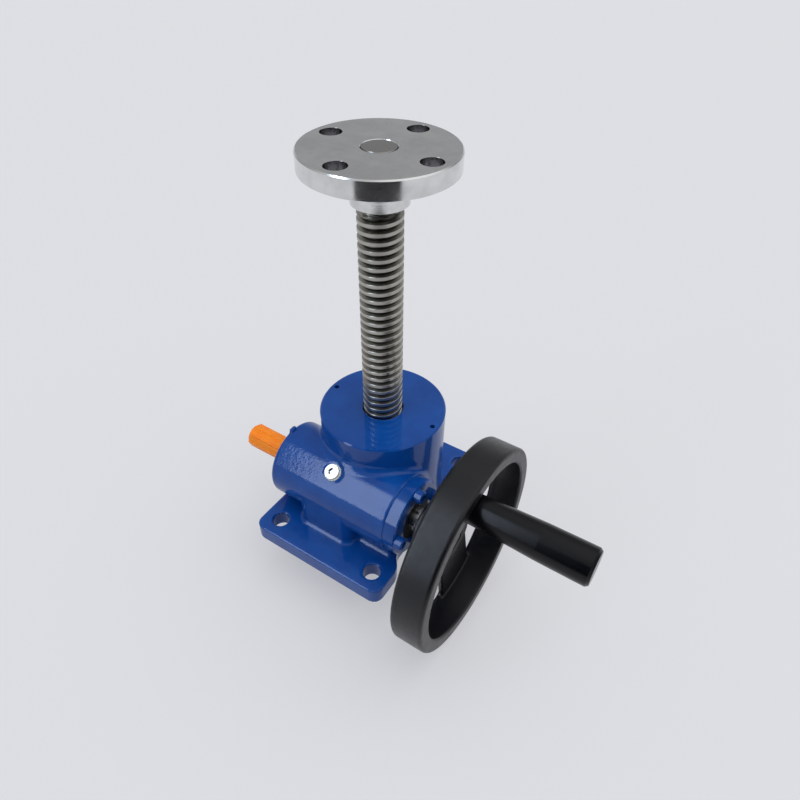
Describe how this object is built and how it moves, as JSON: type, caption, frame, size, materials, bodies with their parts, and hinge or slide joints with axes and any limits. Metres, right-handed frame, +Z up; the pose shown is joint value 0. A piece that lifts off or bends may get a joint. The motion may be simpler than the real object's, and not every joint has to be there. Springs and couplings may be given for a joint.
{
  "type": "worm gear screw jack",
  "caption": "Hand-wheel driven worm gear screw jack with a flanged lifting screw, cast housing and bolt-down base.",
  "frame": {"origin": "lifting-screw axis at the underside of the base", "axes": "+Z up along the lifting screw, +X along the worm shaft to the hand wheel, +Y away from the worm"},
  "size_m": [0.2965, 0.1895, 0.334],
  "materials": {
    "blue_enamel": "gloss enamel on iron casting",
    "black_enamel": "satin black coating on cast aluminium",
    "black_plastic": "moulded phenolic, polished",
    "orange_plastic": "moulded polyethylene",
    "white_plastic": "nylon sealing washer",
    "turned_steel": "turned and ground",
    "screw_steel": "machined, oiled",
    "ground_steel": "ground",
    "plated_steel": "bright zinc plate",
    "black_steel": "black oxide",
    "spring_steel": "phosphated",
    "bearing_steel": "ground and polished",
    "brass_cage": "pressed",
    "bronze": "machined tin bronze",
    "seal_rubber": "moulded nitrile"
  },
  "bodies": {
    "housing": {"housing": "blue_enamel", "top_bearing_cover": "blue_enamel", "cover_lock_screw": "black_steel", "upper_guide_bush": "bronze", "screw_wiper": "seal_rubber", "thrust_housing_washers": "bearing_steel", "thrust_ball_cages": "brass_cage", "thrust_balls": "bearing_steel", "worm_bearing_outer_rings": "bearing_steel", "worm_bearing_balls": "bearing_steel", "worm_bearing_cages": "brass_cage", "worm_oil_seals": "seal_rubber", "worm_end_cover": "blue_enamel", "worm_cover_screws": "blue_enamel", "oil_plug": "plated_steel", "oil_plug_washer": "white_plastic"},
    "worm": {"worm_shaft": "ground_steel", "worm_bearing_inner_rings": "bearing_steel", "handwheel": "black_enamel", "handwheel_key": "ground_steel", "wheel_end_washer": "black_steel", "wheel_end_screw": "black_steel", "handle_spindle": "black_steel", "handle_nut": "black_steel", "handle_clip": "spring_steel"},
    "nut_wheel": {"lifting_nut_wheel": "bronze", "thrust_shaft_washers": "bearing_steel"},
    "lift": {"lifting_screw": "screw_steel", "head_flange": "turned_steel", "flange_set_screw": "black_steel", "screw_stop_ring": "screw_steel", "stop_ring_pin": "plated_steel"},
    "grip": {"handle_grip": "black_plastic"},
    "cap": {"shaft_cap": "orange_plastic"}
  },
  "joints": [
    {"name": "handwheel_turn", "type": "hinge", "parent": "housing", "child": "worm", "pos_m": [0, -0.042, 0.045], "axis": [1, 0, 0], "range_deg": [-216000, 0]},
    {"name": "nut_turn", "type": "hinge", "parent": "housing", "child": "nut_wheel", "pos_m": [0, 0, 0.045], "axis": [0, 0, 1], "range_deg": [0, 9000]},
    {"name": "screw_travel", "type": "slide", "parent": "housing", "child": "lift", "axis": [0, 0, 1], "range_m": [-0.15, 0]},
    {"name": "grip_spin", "type": "hinge", "parent": "worm", "child": "grip", "pos_m": [0.12, -0.05179, 0.10054], "axis": [1, 0, 0], "continuous": true},
    {"name": "cap_pull", "type": "slide", "parent": "worm", "child": "cap", "axis": [-1, 0, 0], "range_m": [0, 0.041]}
  ],
  "couplings": [
    {"joint": "nut_turn", "follows": "handwheel_turn", "ratio": -0.041667},
    {"joint": "screw_travel", "follows": "handwheel_turn", "m_per_rad": 0.000039789}
  ]
}
